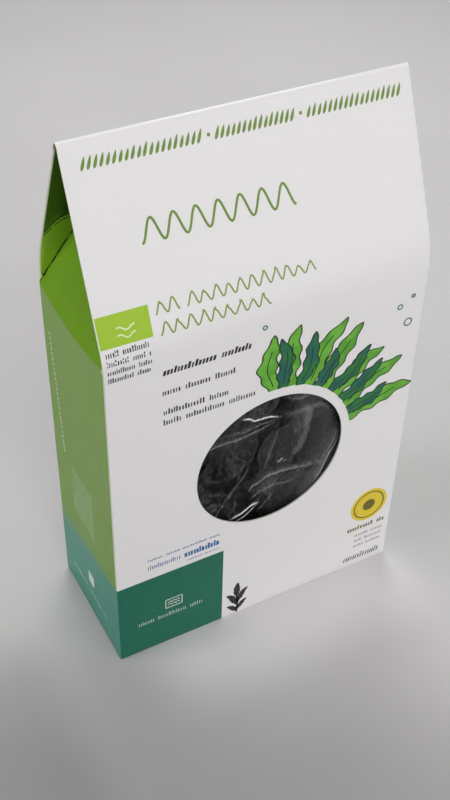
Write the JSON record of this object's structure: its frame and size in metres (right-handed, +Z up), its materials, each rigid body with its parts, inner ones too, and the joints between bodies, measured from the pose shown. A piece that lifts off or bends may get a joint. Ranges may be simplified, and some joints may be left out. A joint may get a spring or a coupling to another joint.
{
  "type": "carton of dried wakame",
  "caption": "Gable-top folding carton with gusseted ends and a round window, holding a clear film pouch of dried wakame fronds.",
  "frame": {"origin": "middle of the carton's base, at the bottom of the bounding box", "axes": "+Z up, from the base to the roof ridge; -Y is the front panel's outward direction, with the window; X runs along the ridge"},
  "size_m": [0.11, 0.0486, 0.188],
  "materials": {
    "carton": "satin",
    "pouch": "gloss",
    "dried_seaweed": "satin"
  },
  "bodies": {
    "root": {"carton": "carton", "pouch": "pouch", "frond_01": "dried_seaweed", "frond_02": "dried_seaweed", "frond_03": "dried_seaweed", "frond_04": "dried_seaweed", "frond_05": "dried_seaweed", "frond_06": "dried_seaweed", "frond_07": "dried_seaweed", "frond_08": "dried_seaweed", "frond_09": "dried_seaweed", "frond_10": "dried_seaweed", "frond_11": "dried_seaweed", "frond_12": "dried_seaweed", "frond_13": "dried_seaweed", "frond_14": "dried_seaweed", "frond_15": "dried_seaweed", "frond_16": "dried_seaweed"}
  },
  "joints": []
}
